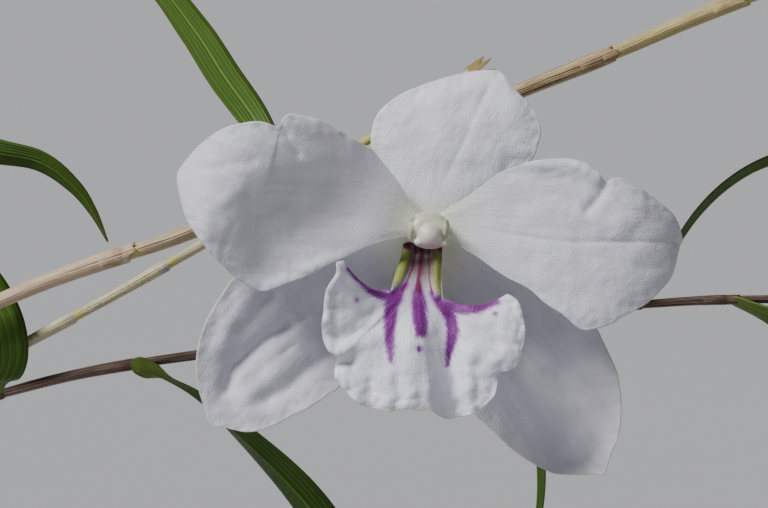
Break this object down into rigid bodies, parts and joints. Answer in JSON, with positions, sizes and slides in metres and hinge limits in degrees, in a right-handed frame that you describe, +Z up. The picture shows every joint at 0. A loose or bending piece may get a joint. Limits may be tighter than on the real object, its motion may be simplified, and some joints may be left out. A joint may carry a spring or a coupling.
{
  "type": "potted orchid",
  "caption": "Clump-forming reed-stemmed orchid in a plain clay pot, with slender jointed canes, narrow leaves in two ranks and an open white flower with a fan-shaped lip streaked purple.",
  "frame": {"origin": "centre of the pot's foot, on the surface it stands on", "axes": "+Z up, the flower faces -Y and stands to the +X side of the pot"},
  "size_m": [0.4466, 0.2794, 0.3552],
  "materials": {
    "clay": "unglazed, matt, slightly dusty",
    "bark": "rough bark chips, damp in places",
    "cane": "dry papery sheaths with lengthwise ribs",
    "leaf": "smooth, satin, parallel veins",
    "petal": "crystalline white, translucent at the edges",
    "lip": "white with purple streaks and yellow-green ridges on the claw",
    "column": "waxy greenish white"
  },
  "bodies": {
    "root": {"pot": "clay", "potting_mix": "bark", "cane_bearing": "cane", "cane_bare": "cane", "cane_front_left": "cane", "cane_low": "cane", "cane_left": "cane", "cane_back": "cane", "cane_front": "cane", "cane_right": "cane", "cane_bare_left": "cane", "cane_back_right": "cane", "cane_far_left": "cane", "shoot_right": "leaf", "shoot_front": "leaf", "dorsal_sepal": "petal", "petal_left": "petal", "petal_right": "petal", "lateral_sepal_left": "petal", "lateral_sepal_right": "petal", "lip": "lip", "column": "column"}
  },
  "joints": []
}
